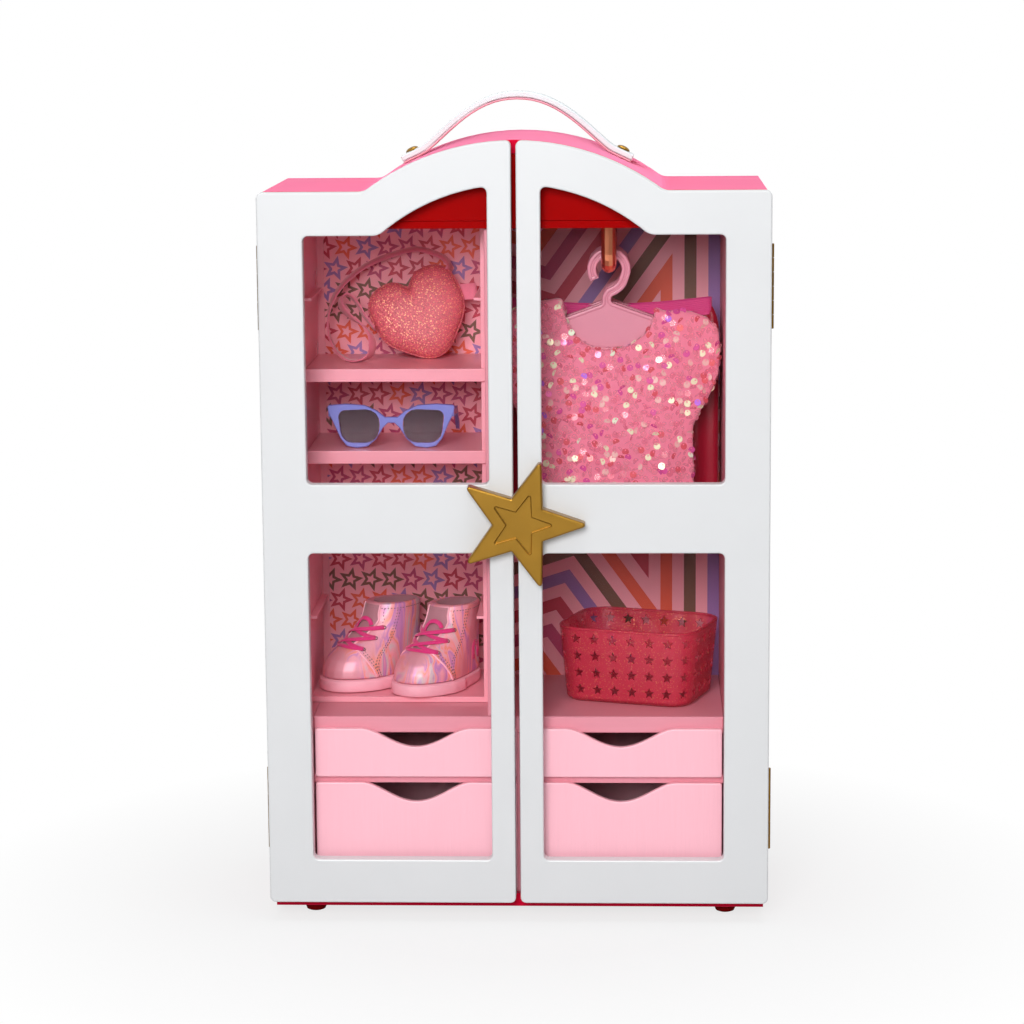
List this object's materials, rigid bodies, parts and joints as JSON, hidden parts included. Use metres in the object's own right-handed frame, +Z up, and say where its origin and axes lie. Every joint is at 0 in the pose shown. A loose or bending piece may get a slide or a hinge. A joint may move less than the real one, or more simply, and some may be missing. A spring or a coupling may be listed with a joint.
{
  "type": "doll closet",
  "caption": "Arched carry closet for doll clothes: glazed double doors with a star latch, drawers, shelves, a hanging rail, its contents and a strap handle.",
  "frame": {"origin": "on the floor under the middle of the case's bounding box, between its feet", "axes": "+Z up, -Y out of the doors towards the viewer, +X to the right as seen from the front"},
  "size_m": [0.3338, 0.1734, 0.5446],
  "materials": {
    "red_paint": "satin red paint on board",
    "white_paint": "satin white paint on board",
    "pink_paint": "pink paint on board",
    "print_paper": "board with a printed pink face",
    "pink_plastic": "glossy pink moulding",
    "clear_plastic": "clear sheet",
    "gold": "satin gold",
    "copper": "polished copper plating",
    "white_leather": "white imitation leather",
    "pink_leather": "pink imitation leather",
    "sequin_cloth": "net sewn with sequins",
    "satin": "red satin",
    "glitter_cloth": "coral glitter cloth",
    "raspberry": "translucent red moulding",
    "lilac_plastic": "glossy lilac",
    "dark_lens": "smoked",
    "foil_leather": "iridescent pink foil",
    "rubber": "matt pink"
  },
  "bodies": {
    "case": {"arched_top": "red_paint", "back_panel": "red_paint", "base_shelf": "pink_paint", "bottom_panel": "red_paint", "ceiling_panel": "red_paint", "centre_divider": "pink_paint", "drawer_frame": "pink_paint", "fascia_board": "red_paint", "left_side_panel": "red_paint", "right_side_panel": "red_paint", "left_front_foot": "red_paint", "left_rear_foot": "red_paint", "right_front_foot": "red_paint", "right_rear_foot": "red_paint", "left_liner": "pink_paint", "right_liner": "pink_paint", "star_print_panel": "print_paper", "stripe_print_panel": "print_paper", "shelf_unit": "pink_plastic", "lower_shelf": "pink_plastic", "upper_shelf": "pink_plastic", "garment_rail": "copper", "handle_lining": "pink_leather", "handle_strap": "white_leather", "left_handle_rivet": "gold", "right_handle_rivet": "gold", "left_lower_hinge_case_leaf": "gold", "left_upper_hinge_case_leaf": "gold", "right_lower_hinge_case_leaf": "gold", "right_upper_hinge_case_leaf": "gold"},
    "right_door": {"right_door_frame": "white_paint", "right_upper_pane": "clear_plastic", "right_lower_pane": "clear_plastic", "right_lower_hinge_door_leaf": "gold", "right_upper_hinge_door_leaf": "gold", "star_latch": "gold"},
    "left_door": {"left_door_frame": "white_paint", "left_upper_pane": "clear_plastic", "left_lower_pane": "clear_plastic", "left_lower_hinge_door_leaf": "gold", "left_upper_hinge_door_leaf": "gold"},
    "left_upper_drawer_box": {"left_upper_drawer": "pink_paint"},
    "left_lower_drawer_box": {"left_lower_drawer": "pink_paint"},
    "right_upper_drawer_box": {"right_upper_drawer": "pink_paint"},
    "right_lower_drawer_box": {"right_lower_drawer": "pink_paint"},
    "hanging": {"front_hanger": "pink_plastic", "middle_hanger": "pink_plastic", "rear_hanger": "pink_plastic", "sequin_top": "sequin_cloth", "satin_skirt": "satin"},
    "basket": {"star_basket": "raspberry"},
    "purse": {"heart_purse": "glitter_cloth", "purse_strap": "pink_leather"},
    "sunglasses": {"sunglasses_frame": "lilac_plastic", "left_lens": "dark_lens", "right_lens": "dark_lens"},
    "left_boot": {"left_boot_upper": "foil_leather", "left_boot_sole": "rubber"},
    "right_boot": {"right_boot_upper": "foil_leather", "right_boot_sole": "rubber"}
  },
  "joints": [
    {"name": "right_door_hinge", "type": "hinge", "parent": "case", "child": "right_door", "pos_m": [0.1656, -0.06255, 0.0132], "axis": [0, 0, 1], "range_deg": [0, 180]},
    {"name": "left_door_hinge", "type": "hinge", "parent": "case", "child": "left_door", "pos_m": [-0.1656, -0.06255, 0.0132], "axis": [0, 0, -1], "range_deg": [0, 180]},
    {"name": "left_upper_drawer_slide", "type": "slide", "parent": "case", "child": "left_upper_drawer_box", "axis": [0, -1, 0], "range_m": [0, 0.0817]},
    {"name": "left_lower_drawer_slide", "type": "slide", "parent": "case", "child": "left_lower_drawer_box", "axis": [0, -1, 0], "range_m": [0, 0.0503]},
    {"name": "right_upper_drawer_slide", "type": "slide", "parent": "case", "child": "right_upper_drawer_box", "axis": [0, -1, 0], "range_m": [0, 0.0566]},
    {"name": "right_lower_drawer_slide", "type": "slide", "parent": "case", "child": "right_lower_drawer_box", "axis": [0, -1, 0], "range_m": [0, 0.0786]},
    {"name": "hanger_slide", "type": "slide", "parent": "case", "child": "hanging", "axis": [0, 1, 0], "range_m": [0, 0.013]},
    {"name": "basket_lift", "type": "slide", "parent": "case", "child": "basket", "axis": [0, 0, 1], "range_m": [0, 0.012]},
    {"name": "purse_lift", "type": "slide", "parent": "case", "child": "purse", "axis": [0, 0, 1], "range_m": [0, 0.008]},
    {"name": "sunglasses_lift", "type": "slide", "parent": "case", "child": "sunglasses", "axis": [0, 0, 1], "range_m": [0, 0.01]},
    {"name": "left_boot_lift", "type": "slide", "parent": "case", "child": "left_boot", "axis": [0, 0, 1], "range_m": [0, 0.012]},
    {"name": "right_boot_lift", "type": "slide", "parent": "case", "child": "right_boot", "axis": [0, 0, 1], "range_m": [0, 0.012]}
  ],
  "couplings": [
    {"joint": "left_door_hinge", "follows": "right_door_hinge", "ratio": 1},
    {"joint": "left_upper_drawer_slide", "follows": "right_door_hinge", "m_per_rad": 0.026},
    {"joint": "left_lower_drawer_slide", "follows": "right_door_hinge", "m_per_rad": 0.016},
    {"joint": "right_upper_drawer_slide", "follows": "right_door_hinge", "m_per_rad": 0.018},
    {"joint": "right_lower_drawer_slide", "follows": "right_door_hinge", "m_per_rad": 0.025}
  ]
}
